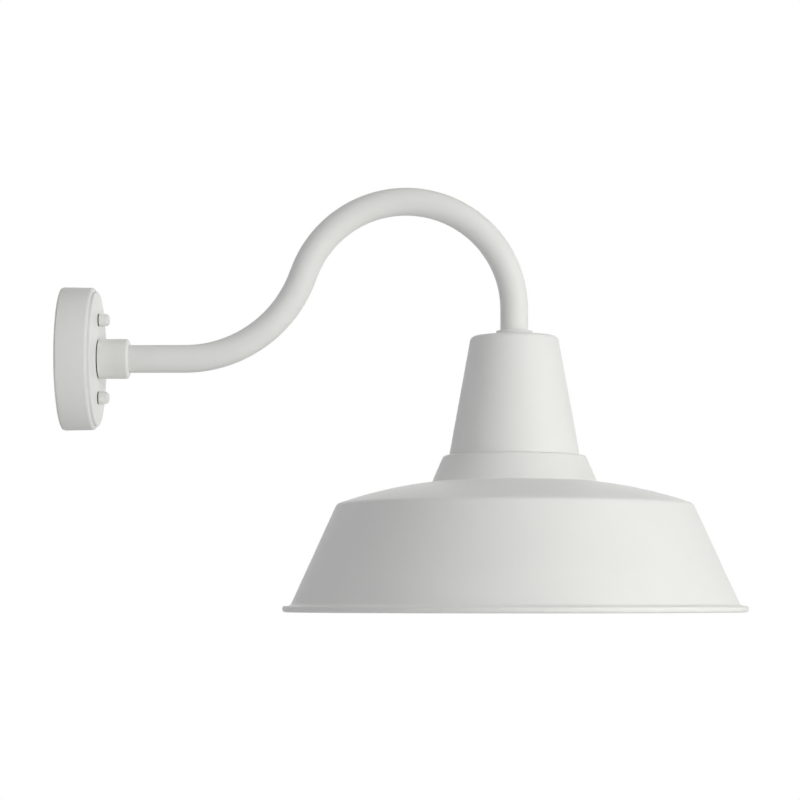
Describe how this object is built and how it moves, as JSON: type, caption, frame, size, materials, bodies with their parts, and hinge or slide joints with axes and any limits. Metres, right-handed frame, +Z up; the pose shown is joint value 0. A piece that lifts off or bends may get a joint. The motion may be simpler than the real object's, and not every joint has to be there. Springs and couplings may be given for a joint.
{
  "type": "gooseneck barn light",
  "caption": "Gooseneck barn light for a wall: round canopy, bent tube arm, tapered neck, wide spun shade with a rolled rim, screw lampholder and a lamp that comes out downwards.",
  "frame": {"origin": "middle of the mounting plate's back face, on the wall, on the arm's axis", "axes": "+X away from the wall along the arm's first stretch, +Z up"},
  "size_m": [0.6094, 0.4128, 0.3792],
  "materials": {
    "white_coat": "matt white powder coat with a fine texture",
    "zinc_steel": "bright zinc plate",
    "green_steel": "green passivated",
    "foam": "white closed cell foam",
    "black_rubber": "matt",
    "black_plastic": "matt moulding",
    "orange_plastic": "satin moulding",
    "black_insulation": "satin",
    "white_insulation": "satin",
    "green_insulation": "satin",
    "porcelain": "glossy white glaze",
    "brass": "plain rolled",
    "opal_glass": "soft white inside frost",
    "lamp_metal": "bright",
    "black_glass": "gloss"
  },
  "bodies": {
    "fixture": {"wall_gasket": "foam", "mounting_plate": "zinc_steel", "canopy_studs": "zinc_steel", "stud_lock_nuts": "zinc_steel", "earth_screw": "green_steel", "wall_canopy": "white_coat", "sealing_washers": "black_rubber", "cap_nuts": "white_coat", "hub_gasket": "black_rubber", "arm_hub": "white_coat", "hub_set_screw": "zinc_steel", "pipe_nipples": "zinc_steel", "toothed_washers": "zinc_steel", "pipe_lock_nuts": "zinc_steel", "lead_bushings": "black_plastic", "gooseneck_arm": "white_coat", "arm_end_bush": "zinc_steel", "line_lead": "black_insulation", "neutral_lead": "white_insulation", "earth_lead": "green_insulation", "earth_tags": "zinc_steel", "wire_connectors": "orange_plastic", "neck_collar": "white_coat", "neck_housing": "white_coat", "shade": "white_coat", "shade_screws": "zinc_steel", "lampholder_bracket": "zinc_steel", "lampholder_body": "porcelain", "lampholder_screws": "zinc_steel", "screw_shell": "brass", "centre_contact": "brass", "terminal_plates": "brass", "terminal_screws": "brass"},
    "lamp": {"lamp_glass": "opal_glass", "lamp_cap": "lamp_metal", "lamp_insulator": "black_glass", "lamp_contact": "lamp_metal"}
  },
  "joints": [
    {"name": "lamp_out", "type": "slide", "parent": "fixture", "child": "lamp", "axis": [0, 0, -1], "range_m": [0, 0.16]}
  ]
}
